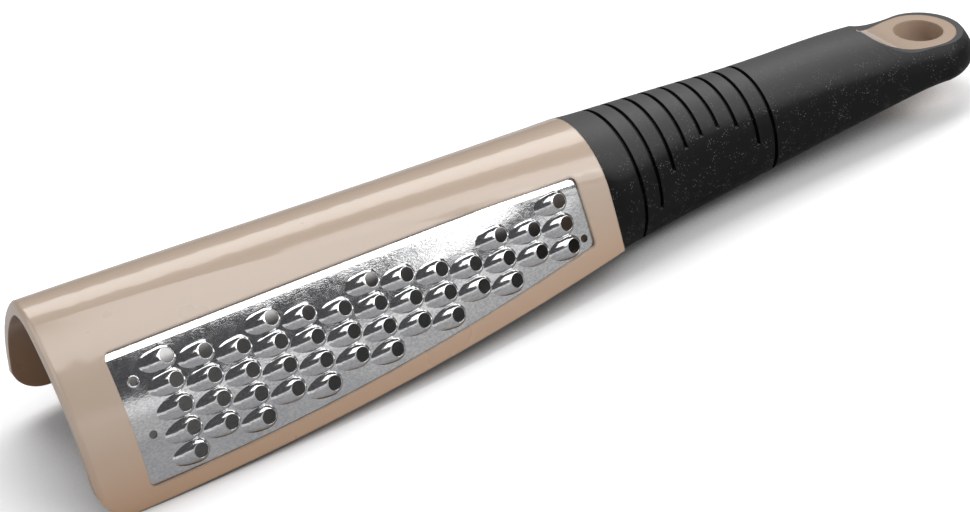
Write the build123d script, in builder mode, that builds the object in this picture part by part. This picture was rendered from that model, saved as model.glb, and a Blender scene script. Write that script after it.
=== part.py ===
from build123d import *
import os
from math import acos, asin, cos, pi, radians, sin, tan

# Small working values shared by every piece
overrun = 2.0
fit = 0.1
# Sides of the middle plane
near = -1
far = 1

# Head: the arched channel, from its open front to the seam with the grip
head_length = 163.0
wall = 3.6
bulkhead = 7.0
front_ridge = 51.9
front_half_width = 29.9
front_ridge_radius = 12.0
middle_ridge = 45.4
middle_foot = 3.2
middle_half_width = 31.2
middle_ridge_radius = 14.5
rear_ridge = 39.0
rear_foot = 8.2
rear_half_width = 23.3
rear_ridge_radius = 19.5
front_ridge_angle = 38
middle_ridge_angle = 48
rear_ridge_angle = 72
front_foot_radius = 10.5
rim_round = 1.8
rim_corner_share = 0.29
# The far flank is shorter: its lower edge starts higher at the open front
far_foot_front = 8.2
far_foot_rear = 7.4
middle_share = 0.5

# Window in each flank, as it shows outside, and how the plate is trapped in the wall
window_front = 14.0
window_rear = 154.4
window_front_top = 39.6
window_rear_top = 32.2
window_front_bottom = 5.4
window_middle_bottom = 7.4
window_rear_bottom = 13.4
window_corner = 1.6
plate_depth = 0.9
plate_thickness = 0.6
plate_lap = 1.8

# Coarse rasp: domed cutters in rows along the plate, each with a round mouth behind its dome
column_pitch = 9.88
first_column = 28.4
row_pitch = 6.53
top_cutter_run = 35.0
run_drop = 1.055
dome_height = 1.7
dome_half_width = 3.2
dome_apex = 15.3
mouth_radius = 2.1
mouth_offset = 0.7
# Each column: thirds of a row before its first cutter, then how many cutters it has
coarse_columns = [(0, 5), (1, 4), (2, 4), (0, 4), (1, 4), (2, 3), (0, 4),
                  (1, 3), (2, 3), (3, 2), (1, 3), (2, 2), (0, 3)]
pin_hole_radius = 1.1
# Each pin hole: place, and run up the flank from its foot
pin_holes = [(18.7, 32.5), (18.7, 18.0), (151.8, 9.2)]

# Fine zester: staggered slots, each with a raised cutting lip in front of it
fine_column_pitch = 5.7
fine_row_pitch = 4.5
fine_column_count = 23
fine_first_column = 20.6
fine_first_run = 9.0
fine_front_top_run = 37.6
fine_rear_top_run = 24.0
slot_length = 3.0
slot_width = 1.5
lip_height = 0.7
lip_length = 1.8

# Places are counted from the open front; the origin lies below the middle of the whole body, and
# the hand plane of the tool stands a little to the far side of it, as the far flank is shorter
half_length = 150.87
foot_lift = 0.243
middle_shift = 0.66
datum = (-half_length, middle_shift, -foot_lift)
cross_plane = Plane(datum, x_dir=(0, 1, 0), z_dir=(1, 0, 0))
side_plane = Plane(datum, x_dir=(1, 0, 0), z_dir=(0, -1, 0))
plan_plane = Plane(datum, x_dir=(1, 0, 0), z_dir=(0, 0, 1))

# Handle: a tang on the bulkhead, covered by the soft grip up to the hang hole
hole_place = 285.7
hole_radius = 7.4
eye_radius = 11.3
eye_tip = 262.8
eye_height = 21.6
eye_tip_height = 31.0
eye_slope = 6
seam_corner = 1.2
# Each section behind the seam: place, half width, top, bottom, corner radius of the belly
handle_sections = [
    (176.0, 19.6, 37.3, 3.3, 4.5),
    (190.0, 17.0, 36.3, 2.3, 7.0),
    (206.0, 15.8, 34.7, 2.5, 8.0),
    (225.0, 15.4, 32.9, 3.9, 8.0),
    (248.0, 15.4, 31.5, 5.9, 7.5),
    (268.0, 15.6, 29.4, 8.0, 6.0),
    (285.7, 16.6, 27.2, 9.5, 4.5),
]
belly_share = 0.78
crown_share = 1.0
crown_angle = 72

# Core inside the grip, from the bulkhead to the boss round the hang hole
tang_half_width = 9.5
tang_root = (13.0, 31.0)
tang_waist_place = 190.0
tang_waist = (9.0, 28.5)
tang_palm_place = 246.0
tang_palm = (11.0, 24.5)
tang_tip = (13.4, 18.6)
tang_tip_share = 0.6

# Grooves over the thumb end of the grip
groove_first = 173.0
groove_pitch = 6.0
groove_width = 1.2
groove_depth = 1.3
# Height above the front feet at which each groove ends
groove_ends = [3.7, 13.0, 22.0, 26.0, 27.0, 27.0, 25.0, 17.7, 6.0]


def arch_outline(place, ridge, foot, half_width, radius, angle, inset=0, skirt=0, corner=0):
    """Cross-section of the channel: a ridge arc, two flank arcs and a base line."""
    with BuildSketch(cross_plane.offset(place)) as outline:
        with BuildLine():
            crown = CenterArc((0, ridge - radius), radius - inset, 90 - angle, 2 * angle)
            left = TangentArc(crown @ 1, (inset - half_width, foot), tangent=crown % 1)
            right = TangentArc(crown @ 0, (half_width - inset, foot), tangent=-(crown % 0))
            if skirt:
                Line(left @ 1, (inset - half_width, foot - skirt))
                Line(right @ 1, (half_width - inset, foot - skirt))
            Line((inset - half_width, foot - skirt), (half_width - inset, foot - skirt))
        make_face()
        if corner:
            fillet(outline.vertices().group_by(Axis.Y)[0], radius=corner)
    return outline.sketch


def head_form(inset=0, skirt=0):
    """Head outline moved inwards by an inset, closed below its feet."""
    front = arch_outline(0, front_ridge, 0, front_half_width, front_ridge_radius,
                         front_ridge_angle, inset, skirt)
    middle = arch_outline(head_length * middle_share, middle_ridge, middle_foot,
                          middle_half_width, middle_ridge_radius, middle_ridge_angle,
                          inset, skirt)
    rear = arch_outline(head_length, rear_ridge, rear_foot, rear_half_width,
                        rear_ridge_radius, rear_ridge_angle, inset, skirt)
    with BuildPart() as form:
        loft(sections=[front, middle, rear])
    return form.part


def rim_ring():
    """What rounding off the outer edge of the open front takes away."""
    turns = ((0, rim_round), (rim_round * rim_corner_share, rim_round * rim_corner_share),
             (rim_round, -fit))
    outlines = [arch_outline(place, front_ridge, 0, front_half_width, front_ridge_radius,
                             front_ridge_angle, inset, overrun) for place, inset in turns]
    with BuildPart() as nose:
        loft(sections=outlines)
    with BuildPart() as ring:
        with BuildSketch(cross_plane):
            Rectangle(4 * front_half_width, 4 * front_ridge)
        extrude(amount=rim_round)
        add(nose.part, mode=Mode.SUBTRACT)
    return ring.part


def window_prism(side, margin=0):
    """Side view of a window, grown by a margin, reaching out from the middle plane."""
    lift = far_foot_front if side == far else 0
    with BuildPart() as prism:
        with BuildSketch(side_plane):
            with BuildLine():
                top = Line((window_front, window_front_top), (window_rear, window_rear_top))
                rear = Line(top @ 1, (window_rear, window_rear_bottom))
                bottom = ThreePointArc(rear @ 1,
                                       (head_length * middle_share, window_middle_bottom + lift / 2),
                                       (window_front, window_front_bottom + lift))
                Line(bottom @ 1, top @ 0)
            make_face()
            if margin:
                offset(amount=margin, kind=Kind.INTERSECTION)
        extrude(amount=front_half_width + middle_half_width, dir=(0, side, 0))
        fillet(prism.edges().filter_by(Axis.Y), radius=window_corner + margin)
    return prism.part


def handle_outline(place, half_width, top, bottom, corner, inset=0):
    """Cross-section of the handle: a round crown, bowed sides and a softer belly."""
    belly = half_width * belly_share + inset * (1 - belly_share)
    return arch_outline(place, top, bottom + inset, belly, half_width * crown_share,
                        crown_angle, inset, 0, corner - inset)


def handle_form(inset=0):
    """Handle from the seam to its rounded end, moved inwards by an inset."""
    seam = arch_outline(head_length, rear_ridge, rear_foot + inset, rear_half_width,
                        rear_ridge_radius, rear_ridge_angle, inset, 0, seam_corner)
    outlines = [handle_outline(*section, inset) for section in handle_sections]
    eye = outlines[-1]
    with BuildPart() as form:
        loft(sections=[seam, *outlines])
        near_half = split(eye, bisect_by=side_plane, keep=Keep.TOP, mode=Mode.PRIVATE)
        hole_axis = Axis(plan_plane.from_local_coords((hole_place, 0, 0)), (0, 0, 1))
        revolve(near_half, axis=hole_axis, revolution_arc=180)
    return form.part


def scoop_form():
    """Everything above the hollow in which the hang hole lies."""
    slope = tan(radians(eye_slope))
    floor_start = (hole_place - hole_radius, eye_height + hole_radius * slope)
    rear = hole_place + front_half_width
    floor_end = (rear, eye_height - (rear - hole_place) * slope)
    with BuildPart() as form:
        with BuildSketch(side_plane):
            with BuildLine():
                Line(floor_end, floor_start)
                ramp = TangentArc(floor_start, (eye_tip, eye_tip_height), tangent=(-1, slope))
                Line(ramp @ 1, (eye_tip, rear_ridge))
                Line((eye_tip, rear_ridge), (rear, rear_ridge))
                Line((rear, rear_ridge), floor_end)
            make_face()
        extrude(amount=front_half_width, both=True)
    return form.part


def flank_face(form, side):
    """Flank of a form, on the near (-1) or the far (+1) side."""
    return form.faces().sort_by(Axis.Y)[0 if side < 0 else -1]


def flank_spot(flank, place, run):
    """Plane standing on a flank, at a place along it and a run up from its foot."""
    upright = flank.intersect(cross_plane.offset(place))[0]
    if (upright @ 0).Z > (upright @ 1).Z:
        run = upright.length - run
    spot = upright.position_at(run, position_mode=PositionMode.LENGTH)
    return Plane(origin=spot, x_dir=(1, 0, 0), z_dir=flank.normal_at(spot))


def plate_blank(side, depth, thickness, margin):
    """Curved sheet inside the wall of one flank, reaching past its window by a margin."""
    sheet = head_form(depth) - head_form(depth + thickness, overrun)
    return sheet & window_prism(side, margin)


def dome_form(drop=0):
    """Dome on a plate: a ball with a long cone towards the open front, sunk and lowered by a drop."""
    ball = (dome_half_width ** 2 + dome_height ** 2) / (2 * dome_height)
    touch = asin(ball / dome_apex)
    with BuildPart() as form:
        with BuildSketch(Plane.XZ):
            with BuildLine():
                Line((-dome_apex, 0), (-ball * sin(touch), ball * cos(touch)))
                ThreePointArc((-ball * sin(touch), ball * cos(touch)),
                              (ball * sin(pi / 4), ball * cos(pi / 4)), (ball, 0))
                Line((ball, 0), (-dome_apex, 0))
            make_face()
        revolve(axis=Axis.X)
    return form.part.moved(Location((0, 0, dome_height - ball - drop)))


def bar_outline(place, half_width, heights):
    """Rectangle across the handle between two heights."""
    bottom, top = heights
    with BuildSketch(cross_plane.offset(place)) as outline:
        with Locations((0, (bottom + top) / 2)):
            Rectangle(2 * half_width, top - bottom)
    return outline.sketch


def tang_form():
    """Core bar inside the grip, from inside the bulkhead to the boss."""
    root = bar_outline(head_length - bulkhead / 2, tang_half_width, tang_root)
    waist = bar_outline(tang_waist_place, tang_half_width, tang_waist)
    palm = bar_outline(tang_palm_place, tang_half_width, tang_palm)
    tip = bar_outline(hole_place - eye_radius, tang_half_width * tang_tip_share, tang_tip)
    with BuildPart() as form:
        loft(sections=[root, waist, palm, tip])
    return form.part


def teardrop_prism():
    """Upright prism round the hang hole: a half circle with two arcs meeting at a point."""
    run = hole_place - eye_tip
    bow = (run * run + eye_radius * eye_radius) / (2 * eye_radius)
    lean = acos((bow - eye_radius) / bow) / 2
    middle = (hole_place - bow * sin(lean), bow * cos(lean) - bow + eye_radius)
    with BuildPart() as form:
        with BuildSketch(plan_plane):
            with BuildLine():
                ThreePointArc((eye_tip, 0), middle, (hole_place, eye_radius))
                ThreePointArc((hole_place, eye_radius), (hole_place + eye_radius, 0),
                              (hole_place, -eye_radius))
                ThreePointArc((hole_place, -eye_radius), (middle[0], -middle[1]), (eye_tip, 0))
            make_face()
        extrude(amount=rear_ridge)
    return form.part


# Frame: the channel with its windows, bulkhead, tang and the boss round the hang hole
outer_handle = handle_form()
above_scoop = scoop_form()
teardrop = teardrop_prism()
cavity = head_form(wall, overrun)

with BuildPart() as frame:
    add(head_form())
    with BuildPart(mode=Mode.PRIVATE) as hollow:
        add(cavity)
        with BuildSketch(side_plane):
            with Locations((head_length - bulkhead, 0)):
                Rectangle(front_half_width, 2 * front_ridge + 2 * wall, align=(Align.MIN, Align.CENTER))
        extrude(amount=2 * front_half_width, both=True, mode=Mode.SUBTRACT)
    add(hollow.part, mode=Mode.SUBTRACT)
    add(rim_ring(), mode=Mode.SUBTRACT)
    for side in (near, far):
        add(window_prism(side), mode=Mode.SUBTRACT)
        add(plate_blank(side, plate_depth - fit, plate_thickness + 2 * fit, plate_lap + fit),
            mode=Mode.SUBTRACT)
    with BuildSketch(side_plane):
        Polygon((0, 0), (0, far_foot_front), (head_length - bulkhead, far_foot_rear),
                (head_length - bulkhead, 0), align=None)
    extrude(amount=2 * front_half_width, dir=(0, far, 0), mode=Mode.SUBTRACT)
    for side, lift in ((near, 0), (far, far_foot_front)):
        with BuildSketch(side_plane):
            with Locations((0, lift)):
                Rectangle(front_foot_radius, front_foot_radius, align=(Align.MIN, Align.MIN))
            with Locations((front_foot_radius, lift + front_foot_radius)):
                Circle(front_foot_radius, mode=Mode.SUBTRACT)
        extrude(amount=2 * front_half_width, dir=(0, side, 0), mode=Mode.SUBTRACT)
    add(tang_form())
    add((outer_handle & teardrop) - above_scoop)
    with BuildSketch(plan_plane):
        with Locations((hole_place, 0)):
            Circle(hole_radius)
    extrude(amount=rear_ridge, mode=Mode.SUBTRACT)

# Coarse plate: the near window's sheet with its hollow cutters and three pin holes
dome_hollow = dome_form(plate_thickness)
with BuildPart() as dome:
    add(dome_form())
    with BuildSketch(Plane.XY.offset(-plate_thickness / 2)):
        Rectangle(4 * dome_apex, 4 * dome_apex)
    extrude(amount=-dome_apex, mode=Mode.SUBTRACT)
with BuildPart() as mouth:
    with Locations((mouth_offset, 0, 0)):
        Cylinder(mouth_radius, 2 * (dome_height + overrun))

near_blank = plate_blank(near, plate_depth, plate_thickness, plate_lap)
near_flank = flank_face(head_form(plate_depth), near)
spots = []
for column, (thirds, count) in enumerate(coarse_columns):
    for row in range(count):
        run = top_cutter_run - run_drop * column - row_pitch * (row + thirds / 3)
        spots.append(flank_spot(near_flank, first_column + column * column_pitch, run).location)
pin_spots = [flank_spot(near_flank, place, run).location for place, run in pin_holes]
with BuildPart() as pin_hole:
    Cylinder(pin_hole_radius, 2 * overrun)

with BuildPart() as coarse_plate:
    add(near_blank)
    add([dome.part.moved(spot) for spot in spots])
    add([dome_hollow.moved(spot) for spot in spots], mode=Mode.SUBTRACT)
    add([mouth.part.moved(spot) for spot in spots], mode=Mode.SUBTRACT)
    add([pin_hole.part.moved(spot) for spot in pin_spots], mode=Mode.SUBTRACT)

# Fine plate: the far window's sheet with a lip on the front side of each slot
far_flank = flank_face(head_form(plate_depth), far)
fine_spots = []
for column in range(fine_column_count):
    along = column / (fine_column_count - 1)
    top_run = fine_front_top_run + (fine_rear_top_run - fine_front_top_run) * along
    run = fine_first_run + far_foot_front * (1 - along) + fine_row_pitch / 2 * (column % 2)
    while run < top_run:
        place = fine_first_column + column * fine_column_pitch
        fine_spots.append(flank_spot(far_flank, place, run).location)
        run += fine_row_pitch

with BuildPart() as slot:
    Box(slot_width, slot_length, 2 * overrun)
with BuildPart() as lip:
    with BuildSketch(Plane.XZ):
        with Locations((-slot_width / 2, 0)):
            Polygon((-lip_length, -plate_thickness / 2), (0, -plate_thickness / 2),
                    (0, lip_height), align=None)
    extrude(amount=slot_length / 2, both=True)

with BuildPart() as fine_plate:
    add(plate_blank(far, plate_depth, plate_thickness, plate_lap))
    add([lip.part.moved(spot) for spot in fine_spots])
    add([slot.part.moved(spot) for spot in fine_spots], mode=Mode.SUBTRACT)

# Soft grip: the handle's outer form less the core, with grooves across the thumb end
with BuildPart() as grooves:
    for number, end in enumerate(groove_ends):
        with BuildSketch(side_plane):
            with Locations((groove_first + number * groove_pitch, end)):
                Rectangle(groove_width, front_ridge, align=(Align.CENTER, Align.MIN))
        extrude(amount=front_half_width, both=True)
    add(handle_form(groove_depth), mode=Mode.SUBTRACT)

with BuildPart() as soft_grip:
    add(outer_handle)
    add(above_scoop, mode=Mode.SUBTRACT)
    with BuildSketch(plan_plane):
        with Locations((hole_place, 0)):
            Circle(hole_radius)
    extrude(amount=rear_ridge, mode=Mode.SUBTRACT)
    add(frame.part, mode=Mode.SUBTRACT)
    add(grooves.part, mode=Mode.SUBTRACT)

os.makedirs("parts", exist_ok=True)
frame.part.label = "frame"
coarse_plate.part.label = "coarse_plate"
fine_plate.part.label = "fine_plate"
soft_grip.part.label = "soft_grip"
export_step(frame.part, "parts/frame.step")
export_step(coarse_plate.part, "parts/coarse_plate.step")
export_step(fine_plate.part, "parts/fine_plate.step")
export_step(soft_grip.part, "parts/soft_grip.step")
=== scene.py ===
import bmesh
import bpy
from math import cos, pi, radians, sin, sqrt
from mathutils import Matrix, Vector


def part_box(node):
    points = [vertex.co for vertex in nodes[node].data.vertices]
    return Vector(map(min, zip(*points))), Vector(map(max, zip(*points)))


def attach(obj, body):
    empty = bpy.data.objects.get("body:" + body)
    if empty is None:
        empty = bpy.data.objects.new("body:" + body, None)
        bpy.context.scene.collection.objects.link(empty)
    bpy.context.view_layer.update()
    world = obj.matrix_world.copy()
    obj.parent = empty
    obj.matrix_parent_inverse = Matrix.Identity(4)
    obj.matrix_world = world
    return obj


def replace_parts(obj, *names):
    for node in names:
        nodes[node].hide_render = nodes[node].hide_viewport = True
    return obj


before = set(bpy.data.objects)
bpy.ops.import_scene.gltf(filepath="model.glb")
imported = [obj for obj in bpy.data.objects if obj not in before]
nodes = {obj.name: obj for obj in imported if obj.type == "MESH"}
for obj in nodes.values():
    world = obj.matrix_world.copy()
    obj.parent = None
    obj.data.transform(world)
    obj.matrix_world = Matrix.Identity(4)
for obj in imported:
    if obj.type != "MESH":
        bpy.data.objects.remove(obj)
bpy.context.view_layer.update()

# Lengths are in metres, and places are in the part's own frame

# Taupe plastic: pairs of colours that cloud into each other, outside and in the painted shade inside, and
# the darker painted shade deep in the channel
taupe_upper = ((0.450, 0.350, 0.272), (0.470, 0.368, 0.288))
taupe_lower = ((0.385, 0.240, 0.147), (0.405, 0.258, 0.162))
taupe_inner_shade = ((0.200, 0.108, 0.056), (0.250, 0.142, 0.076))
taupe_deep_shade = (0.060, 0.036, 0.022)
cloud_stretch = (0.35, 1, 1)
plastic_rounding = 0.0009
# Where the colour changes: by height, where the painted shade darkens with depth in the channel, and
# where it stops from the head to the handle
lower_to_upper = (0.002, 0.026)
shade_deepening = (-0.135, -0.100)
head_to_handle = (0.004, 0.012)
# A point's place across times its facing across, which is below nought on an inner side
inner_to_outer = (-0.006, -0.001)

# Bright steel: its clouds and grains outside, and the painted shade that darkens its inner side
steel_clouds = ((0.58, 0.58, 0.59), (0.68, 0.68, 0.67))
steel_grains = ((0.46, 0.49, 0.54), (0.82, 0.80, 0.75))
steel_inner_shade = ((0.03, 0.03, 0.032), (0.12, 0.125, 0.13))
side_blend = 0.15
# The bent strip along a plate's top edge: how it falls to the rear, its foot, its width and its height
strip_slope = 0.0527
strip_level = 0.0300
strip_width = 0.0020
strip_height = 0.00032

# Soft rubber: black on its sides, lighter where it faces up with painted sheen and dust, with specks of
# dust
rubber_sheen_and_dust = ((0.004, 0.004, 0.0045), (0.080, 0.080, 0.081))
rubber_dust = (0.12, 0.12, 0.12)
rubber_rounding = 0.0003

# Floor: pale, darker close to the object and in mirrors
floor_pale = ((0.86, 0.86, 0.86), (0.88, 0.88, 0.88))
floor_shadow = (0.20, 0.20, 0.20)
floor_mirrored = (0.36, 0.36, 0.37)
floor_size = 8
floor_drop = 0.0002
shadow_reach = 0.08
# The dim stretch under the arch: where it fades in and out along and across, and what light is left
dim_along = ((-0.140, -0.128), (-0.010, 0.000))
dim_across = ((-0.026, -0.020), (0.038, 0.050))
dim_light = 0.15

# Frame: the paper-thin fin under the far flank's round front corner
fin_length = 0.0105
fin_top = 0.0080

# Coarse plate: the egg-shaped domes, each about a place on the plate beside its mouth
dome_front = 0.00816
dome_rear = 0.00382
dome_side = 0.00364
dome_rise = 0.00255
dome_sink = 0.00120
dome_seat = 0.00010
mouth_radius = 0.0021
mouth_offset = 0.0007
# The rolled edge of a mouth: how far out from its wall and down from the skin each ring lies
edge_rings = ((0.0, 0.00050), (0.0, 0.00014), (0.00004, 0.00005), (0.00012, 0.0))
edge_width = edge_rings[-1][0]
skin_rings = 8
skin_spokes = 40
reach_steps = 24
# The plain domes of the plate's node: how high a mouth's rim lies, and the room that a dome takes up
plain_rise = 0.000985
plain_front = 0.0072
plain_rear = 0.0033
plain_side = 0.0034
plain_top = 0.00020
# Holes in the plate's node: lengths of their rims, and what makes an edge sharp and a face a wall
mouth_rim_length = (0.01334, 0.01337)
pin_rim_length = (0.0068, 0.0070)
weld = 0.000002
sharp_angle = radians(50)
wall_facing = 0.9
# The eyelet round the upper front pin hole; each pin hole has an outer and an inner rim
eyelet_radius = 0.00138
eyelet_round = 0.00030
eyelet_bends = 12
front_pin_rims = 4

# Room: its colour on matte and on mirror surfaces, and as the camera sees it
room_matte = (0.30, 0.30, 0.31)
room_mirrored = (0.10, 0.10, 0.105)
room_seen = (1, 1, 1)

# Camera, at the photo's angle
camera_place = (-0.27105, -0.51244, 0.37879)
camera_turn = (radians(56.770), radians(7.133), radians(-30.766))
camera_lens = 90.378
camera_sensor = 36

# Bands of a noise's values: where most of them lie, their middle, and all of them
common = (0.3, 0.7)
middling = (0.35, 0.65)
whole = (0.0, 1.0)


# Shading
def new_material(name):
    """A material with a Principled shader, and its node tree at hand."""
    material = bpy.data.materials.new(name)
    material.use_nodes = True
    shader = material.node_tree.nodes["Principled BSDF"]
    return material, material.node_tree, shader


def node(tree, kind, **values):
    """A new node with the given properties and input values."""
    made = tree.nodes.new(kind)
    for key, value in values.items():
        if hasattr(made, key):
            setattr(made, key, value)
        else:
            made.inputs[key].default_value = value
    return made


def place(tree, stretch=(1, 1, 1)):
    """Object coordinates in metres, stretched along the axes."""
    where = node(tree, "ShaderNodeTexCoord")
    mapping = node(tree, "ShaderNodeMapping", Scale=stretch)
    tree.links.new(where.outputs["Object"], mapping.inputs["Vector"])
    return mapping.outputs["Vector"]


def part_of(tree, output, axis):
    """One axis of a vector output."""
    made = node(tree, "ShaderNodeSeparateXYZ")
    tree.links.new(output, made.inputs["Vector"])
    return made.outputs[axis]


def coordinate(tree, axis):
    """How far along an axis of the frame a point lies."""
    return part_of(tree, place(tree), axis)


def facing(tree, axis):
    """How far a surface faces along an axis of the frame, from -1 to 1."""
    return part_of(tree, node(tree, "ShaderNodeNewGeometry").outputs["Normal"], axis)


def noise(tree, scale, detail=2.0, rough=0.5, stretch=(1, 1, 1)):
    """Noise of a size given in features per metre."""
    made = node(tree, "ShaderNodeTexNoise", Scale=scale, Detail=detail, Roughness=rough)
    tree.links.new(place(tree, stretch), made.inputs["Vector"])
    return made.outputs["Fac"]


def ramp(tree, value, colours, band):
    """Blends from one colour to another as a value goes through a band."""
    made = node(tree, "ShaderNodeValToRGB")
    for stop, level, colour in zip(made.color_ramp.elements, band, colours):
        stop.position = level
        stop.color = (*colour, 1)
    tree.links.new(value, made.inputs["Fac"])
    return made.outputs["Color"]


def span(tree, value, band, low=0.0, high=1.0):
    """Goes from low to high as a value goes through a band, and stays there outside it."""
    made = node(tree, "ShaderNodeMapRange")
    made.inputs["From Min"].default_value = band[0]
    made.inputs["From Max"].default_value = band[1]
    made.inputs["To Min"].default_value = low
    made.inputs["To Max"].default_value = high
    tree.links.new(value, made.inputs["Value"])
    return made.outputs["Result"]


def product(tree, first, second):
    """Two values multiplied."""
    made = node(tree, "ShaderNodeMath", operation="MULTIPLY")
    tree.links.new(first, made.inputs[0])
    tree.links.new(second, made.inputs[1])
    return made.outputs["Value"]


def between(tree, axis, fade_in, fade_out):
    """One on a stretch of an axis and nought outside it, with a soft start and end."""
    where = coordinate(tree, axis)
    return product(tree, span(tree, where, fade_in), span(tree, where, fade_out, 1.0, 0.0))


def mix(tree, share, low, high):
    """Blends two colours; the share and each colour can be a value or an output."""
    made = node(tree, "ShaderNodeMix", data_type="RGBA")
    for name, given in (("Factor", share), ("A", low), ("B", high)):
        socket = [one for one in made.inputs if one.name == name and one.enabled][0]
        if isinstance(given, bpy.types.NodeSocket):
            tree.links.new(given, socket)
        else:
            socket.default_value = given if name == "Factor" else (*given, 1)
    return [one for one in made.outputs if one.enabled][0]


def bump(tree, shader, heights, rounding=0):
    """Chains bumps, each a (height, strength, distance), onto edges that may be softened."""
    normal = None
    if rounding:
        normal = node(tree, "ShaderNodeBevel", Radius=rounding).outputs["Normal"]
    for height, strength, distance in heights:
        made = node(tree, "ShaderNodeBump", Strength=strength, Distance=distance)
        tree.links.new(height, made.inputs["Height"])
        if normal:
            tree.links.new(normal, made.inputs["Normal"])
        normal = made.outputs["Normal"]
    tree.links.new(normal, shader.inputs["Normal"])


# Materials
def glossy_plastic():
    """Taupe moulding: smooth and glossy, warmer towards its lower edge, with painted shade on its inner
    side in the head that darkens deep in the channel.
    """
    material, tree, shader = new_material("taupe_plastic")
    upper = ramp(tree, noise(tree, 12, 6, 0.6, cloud_stretch), taupe_upper, whole)
    lower = ramp(tree, noise(tree, 14, 6, 0.6, cloud_stretch), taupe_lower, whole)
    skin = mix(tree, span(tree, coordinate(tree, "Z"), lower_to_upper, 1.0, 0.0), upper, lower)
    # Painted shade for the inner side, darker still deep in the channel
    inside = ramp(tree, noise(tree, 14, 3, 0.55, cloud_stretch), taupe_inner_shade, whole)
    deep_shade_share = span(tree, coordinate(tree, "X"), shade_deepening)
    inner = mix(tree, deep_shade_share, inside, taupe_deep_shade)
    inward = product(tree, coordinate(tree, "Y"), facing(tree, "Y"))
    in_head = span(tree, coordinate(tree, "X"), head_to_handle, 1.0, 0.0)
    # The painted shade lies only on the inner side, and only in the head
    painted_shade_share = product(tree, span(tree, inward, inner_to_outer, 1.0, 0.0), in_head)
    tree.links.new(mix(tree, painted_shade_share, skin, inner), shader.inputs["Base Color"])
    tree.links.new(span(tree, noise(tree, 60, 3), whole, 0.26, 0.30), shader.inputs["Roughness"])
    shader.inputs["Coat Weight"].default_value = 0.8
    shader.inputs["Coat Roughness"].default_value = 0.1
    shader.inputs["Subsurface Weight"].default_value = 0.05
    shader.inputs["Subsurface Radius"].default_value = (0.004, 0.0025, 0.0015)
    bump(tree, shader, [(noise(tree, 900, 1), 0.02, 0.00003)], plastic_rounding)
    return material


def bright_steel(name, outer_side):
    """Bright rolled sheet with fine brushed specks; its inner side is darkened with painted shade."""
    material, tree, shader = new_material(name)
    clouds = ramp(tree, noise(tree, 160, 4, 0.6), steel_clouds, common)
    grains = ramp(tree, noise(tree, 1900, 2, 0.6, (0.6, 1, 1)), steel_grains, middling)
    # Painted shade: a dark colour with a fine hatch for the plate's inner side
    inner_shade_colour = ramp(tree, noise(tree, 1800, 2, 0.6, (1, 0.08, 0.3)), steel_inner_shade, middling)
    inside = span(tree, facing(tree, "Y"), (side_blend * outer_side, -side_blend * outer_side))
    tree.links.new(mix(tree, inside, mix(tree, 0.5, clouds, grains), inner_shade_colour), shader.inputs["Base Color"])
    shader.inputs["Metallic"].default_value = 1.0
    tree.links.new(span(tree, noise(tree, 500, 5), common, 0.07, 0.15), shader.inputs["Roughness"])
    slope = node(tree, "ShaderNodeMath", operation="MULTIPLY_ADD")
    tree.links.new(coordinate(tree, "X"), slope.inputs[0])
    slope.inputs[1].default_value = strip_slope
    tree.links.new(coordinate(tree, "Z"), slope.inputs[2])
    strip = span(tree, slope.outputs["Value"], (strip_level, strip_level + strip_width), 1.0, 0.0)
    specks = noise(tree, 2600, 3, 0.6, (0.45, 1, 1))
    bump(tree, shader, [(noise(tree, 40, 2), 0.03, 0.0004), (specks, 0.40, 0.00004),
                        (strip, 1.0, strip_height)])
    return material


def soft_rubber():
    """Black soft-touch rubber: matte, with a fine grain, and lighter where it faces up with painted sheen
    and dust.
    """
    material, tree, shader = new_material("soft_rubber")
    specks = node(tree, "ShaderNodeTexVoronoi", Scale=1400.0)
    tree.links.new(place(tree), specks.inputs["Vector"])
    dust = span(tree, specks.outputs["Distance"], (0.10, 0.28), 1.0, 0.0)
    sparse = span(tree, noise(tree, 260, 2), (0.46, 0.60))
    # Painted sheen and dust: the rubber turns lighter where it faces up
    sheen_and_dust = ramp(tree, facing(tree, "Z"), rubber_sheen_and_dust, (0.45, 1.0))
    tree.links.new(mix(tree, product(tree, dust, sparse), sheen_and_dust, rubber_dust), shader.inputs["Base Color"])
    tree.links.new(span(tree, noise(tree, 900, 3), common, 0.42, 0.54), shader.inputs["Roughness"])
    shader.inputs["Specular IOR Level"].default_value = 0.15
    bump(tree, shader, [(noise(tree, 2200, 3), 0.22, 0.00007)], rubber_rounding)
    return material


def floor_paint():
    """Pale matte floor: dark close to the object and under its arch, and clear away from it."""
    material, tree, shader = new_material("pale_floor")
    path = node(tree, "ShaderNodeLightPath")
    pale = ramp(tree, noise(tree, 3), floor_pale, common)
    open_sky = node(tree, "ShaderNodeAmbientOcclusion", samples=8, Distance=shadow_reach).outputs["AO"]
    shaded = mix(tree, span(tree, open_sky, (0.15, 0.45), 1.0, 0.0), pale, floor_shadow)
    tree.links.new(mix(tree, path.outputs["Is Glossy Ray"], shaded, floor_mirrored),
                   shader.inputs["Base Color"])
    shader.inputs["Roughness"].default_value = 0.9
    under_arch = product(tree, between(tree, "X", *dim_along), between(tree, "Y", *dim_across))
    clear = product(tree, span(tree, open_sky, (0.55, 1.0), 0.0, 0.30),
                    span(tree, under_arch, whole, 1.0, dim_light))
    tree.links.new(mix(tree, path.outputs["Is Camera Ray"], (0, 0, 0), clear),
                   shader.inputs["Emission Color"])
    shader.inputs["Emission Strength"].default_value = 1.0
    return material


def dress(name, material):
    """Gives a CAD node its finish."""
    for slot in nodes[name].material_slots:
        slot.material = material


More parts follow.
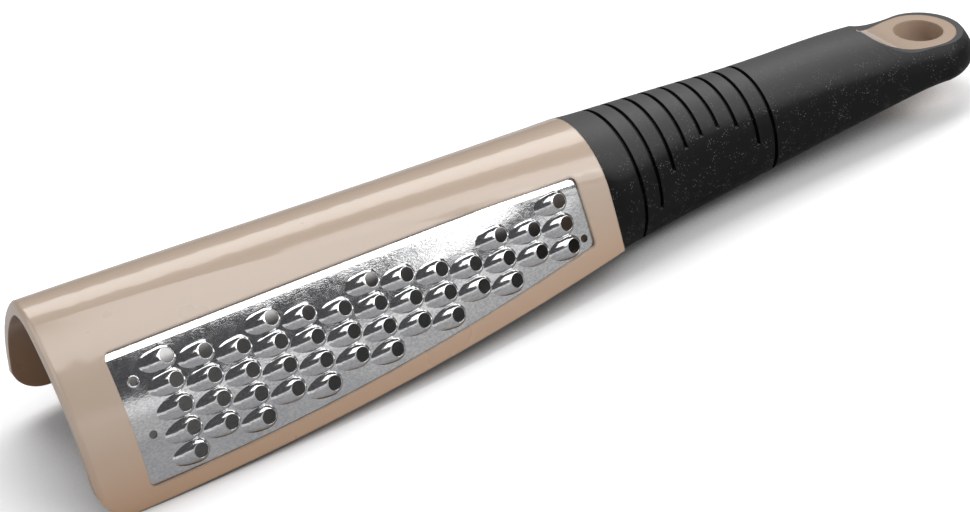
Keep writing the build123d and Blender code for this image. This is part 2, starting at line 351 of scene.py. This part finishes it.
plastic = glossy_plastic()
steel = bright_steel("coarse_steel", -1)
dress("frame", plastic)
dress("coarse_plate", steel)
dress("fine_plate", bright_steel("fine_steel", 1))
dress("soft_grip", soft_rubber())


# Pieces
def open_copy(name):
    """A copy of a node's mesh, and its form open for changes."""
    mesh = nodes[name].data.copy()
    form = bmesh.new()
    form.from_mesh(mesh)
    return mesh, form


def add_piece(name, mesh, form, material):
    """Closes a form into its mesh, as a new object that rides with the part."""
    form.to_mesh(mesh)
    form.free()
    mesh.materials.clear()
    mesh.materials.append(material)
    piece = bpy.data.objects.new(name, mesh)
    bpy.context.collection.objects.link(piece)
    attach(piece, "root")
    return piece


def turns(steps):
    """The angles of equal steps round a circle."""
    return [2 * pi * step / steps for step in range(steps)]


def skin(form, rings, closed, middle, along, across, out):
    """Joins rings of points, given in a place's own directions, into a smooth skin."""
    rows = [[form.verts.new(middle + x * along + y * across + z * out) for x, y, z in ring]
            for ring in rings]
    pairs = list(zip(rows, rows[1:])) + ([(rows[-1], rows[0])] if closed else [])
    for inner, outer in pairs:
        for spoke in range(len(inner)):
            after = (spoke + 1) % len(inner)
            face = form.faces.new((inner[spoke], outer[spoke], outer[after], inner[after]))
            face.smooth = True


# Frame: the node's own form, with its fin drawn back to the corner
def frame_moulding():
    """The channel head, core and boss."""
    mesh, form = open_copy("frame")
    fin_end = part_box("frame")[0][0] + fin_length
    for corner in form.verts:
        if corner.co.x < fin_end and corner.co.y > 0 and corner.co.z < fin_top:
            corner.co.x = fin_end
    return add_piece("frame_moulding", mesh, form, plastic)


# Coarse plate: the node's own sheet and holes, with egg-shaped domes in place of its plain ones
def hole_rims(plate, lengths):
    """The closed sharp edges round the holes of one size, read from the plate's node."""
    form = bmesh.new()
    form.from_mesh(plate.data)
    bmesh.ops.remove_doubles(form, verts=form.verts, dist=weld)
    sharp = {edge for edge in form.edges if edge.calc_face_angle(0) > sharp_angle}
    while sharp:
        rim = [sharp.pop()]
        for edge in rim:
            for corner in edge.verts:
                beside = [other for other in corner.link_edges if other in sharp]
                sharp.difference_update(beside)
                rim.extend(beside)
        if lengths[0] < sum(edge.calc_length() for edge in rim) < lengths[1]:
            yield rim
    form.free()


def hole_place(rim):
    """A hole's middle at its rim, and the directions along the plate, across it and out of it."""
    length = sum(edge.calc_length() for edge in rim)
    middle = sum(((edge.verts[0].co + edge.verts[1].co) / 2 * edge.calc_length() for edge in rim),
                 Vector()) / length
    wall = []
    for edge in rim:
        inward = (middle - edge.verts[0].co).normalized()
        wall += [face.normal.copy() for face in edge.link_faces if face.normal.dot(inward) > wall_facing]
    beside = min(wall, key=lambda one: abs(one.dot(wall[0])))
    out = wall[0].cross(beside).normalized()
    out = -out if out.y > 0 else out
    along = (Vector((1, 0, 0)) - out.x * out).normalized()
    return middle, along, out.cross(along), out


def cutter_place(rim):
    """A cutter's place on the plate, and its directions, from the rim of its mouth."""
    middle, along, across, out = hole_place(rim)
    return middle - mouth_offset * along - plain_rise * out, along, across, out


def in_plain_dome(point, cutter):
    """Whether a point of the node's mesh belongs to the plain dome of a cutter."""
    middle, along, across, out = cutter
    apart = point - middle
    return (-plain_front < apart.dot(along) < plain_rear and abs(apart.dot(across)) < plain_side
            and plain_top < apart.dot(out) < dome_rise)


def coarse_sheet(cutters):
    """The sheet with its holes, bare of its plain domes."""
    mesh, form = open_copy("coarse_plate")
    plain = [corner for corner in form.verts
             if any(in_plain_dome(corner.co, cutter) for cutter in cutters)]
    bmesh.ops.delete(form, geom=plain, context="VERTS")
    return add_piece("coarse_sheet", mesh, form, steel)


def dome_height(x, y):
    """Height of a dome's skin over the plate, at a place in its own plan."""
    length = dome_front if x < 0 else dome_rear
    return dome_rise * sqrt(max(1 - (x / length) ** 2 - (y / dome_side) ** 2, 0)) - dome_sink


def foot_reach(turn):
    """Distance from the mouth's middle to the foot of the dome, along a direction."""
    low, high = mouth_radius, 2 * dome_front
    for halving in range(reach_steps):
        reach = (low + high) / 2
        if dome_height(mouth_offset + reach * cos(turn), reach * sin(turn)) > -dome_seat:
            low = reach
        else:
            high = reach
    return low


def dome_ring(reaches, down):
    """One ring of a dome's skin: its distances from the mouth's middle, and how far down it lies."""
    ring = []
    for turn, reach in zip(turns(skin_spokes), reaches):
        x = mouth_offset + reach * cos(turn)
        y = reach * sin(turn)
        ring.append((x, y, dome_height(x, y) - down))
    return ring


def dome_rings():
    """One dome's skin, as rings of points from inside its mouth out to its foot."""
    feet = [foot_reach(turn) for turn in turns(skin_spokes)]
    rings = [dome_ring([mouth_radius - edge_width + outward] * skin_spokes, down)
             for outward, down in edge_rings]
    for ring in range(1, skin_rings + 1):
        rings.append(dome_ring([mouth_radius + (foot - mouth_radius) * ring / skin_rings
                                for foot in feet], 0))
    return rings


def cutter_domes(cutters):
    """The skins of all the domes."""
    rings = dome_rings()
    form = bmesh.new()
    for cutter in cutters:
        skin(form, rings, False, *cutter)
    return add_piece("cutter_domes", bpy.data.meshes.new("cutter_domes"), form, steel)


def pin_eyelet(plate):
    """The small round-edged ring in the upper front pin hole."""
    pins = sorted((hole_place(rim) for rim in hole_rims(plate, pin_rim_length)), key=lambda pin: pin[0].x)
    upper_front = max(pins[:front_pin_rims], key=lambda pin: pin[0].z)
    rings = []
    for bend in turns(eyelet_bends):
        reach = eyelet_radius + eyelet_round * cos(bend)
        rings.append([(reach * cos(turn), reach * sin(turn), eyelet_round * sin(bend))
                      for turn in turns(skin_spokes)])
    form = bmesh.new()
    skin(form, rings, True, *upper_front)
    return add_piece("pin_eyelet", bpy.data.meshes.new("pin_eyelet"), form, steel)


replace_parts(frame_moulding(), "frame")
plate = nodes["coarse_plate"]
cutters = [cutter_place(rim) for rim in hole_rims(plate, mouth_rim_length)]
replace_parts(coarse_sheet(cutters), "coarse_plate")
cutter_domes(cutters)
pin_eyelet(plate)

# Floor
bpy.ops.mesh.primitive_plane_add(size=floor_size, location=(0, 0, -floor_drop))
floor = bpy.context.object
floor.name = "floor"
floor.data.materials.append(floor_paint())


# Light
def panel(name, start, end, height, radiance):
    """Soft light standing on a lower edge from start to end, leaning to face the part."""
    start, end = Vector(start), Vector(end)
    across = (end - start).normalized()
    middle = (start + end) / 2
    outward = (middle - middle.dot(across) * across).normalized()
    up = outward.cross(across)
    light = bpy.data.lights.new(name, "AREA")
    light.shape = "RECTANGLE"
    light.size = (end - start).length
    light.size_y = height
    light.energy = radiance * pi * light.size * light.size_y
    lamp = bpy.data.objects.new(name, light)
    lamp.matrix_world = Matrix.Translation(middle + up * height / 2) @ Matrix(
        (across, up, outward)).transposed().to_4x4()
    bpy.context.collection.objects.link(lamp)


panel("key", (0.068, -0.780, 0.910), (0.93, -0.78, 0.30), 0.50, 3.2)
panel("top", (-0.45, 0.15, 1.25), (1.35, 0.15, 1.10), 0.8, 3.4)
panel("left", (-1.2, 0.4, 0.15), (-1.0, -0.4, 0.15), 0.6, 1.8)
panel("rear_key", (0.17, -0.41, 0.225), (0.50, -0.36, 0.215), 0.12, 2.4)
panel("high_card", (-0.3, -1.15, 0.24), (1.1, -0.9, 0.24), 0.14, 0.9)
panel("low_card", (-0.3, -1.15, 0.0), (1.1, -0.9, 0.0), 0.24, 0.45)
panel("side_card", (-1.1, -0.45, 0.0), (-0.3, -1.15, 0.0), 0.34, 0.8)

world = bpy.data.worlds.new("studio")
bpy.context.scene.world = world
world.use_nodes = True
tree = world.node_tree
back = tree.nodes["Background"]
back.inputs["Strength"].default_value = 1.0
path = node(tree, "ShaderNodeLightPath")
around = mix(tree, path.outputs["Is Glossy Ray"], room_matte, room_mirrored)
tree.links.new(mix(tree, path.outputs["Is Camera Ray"], around, room_seen), back.inputs["Color"])

# Camera
eye = bpy.data.cameras.new("camera")
eye.sensor_width = camera_sensor
eye.lens = camera_lens
camera = bpy.data.objects.new("camera", eye)
camera.location = camera_place
camera.rotation_euler = camera_turn
bpy.context.collection.objects.link(camera)
scene = bpy.context.scene
scene.camera = camera
scene.view_settings.view_transform = "Standard"
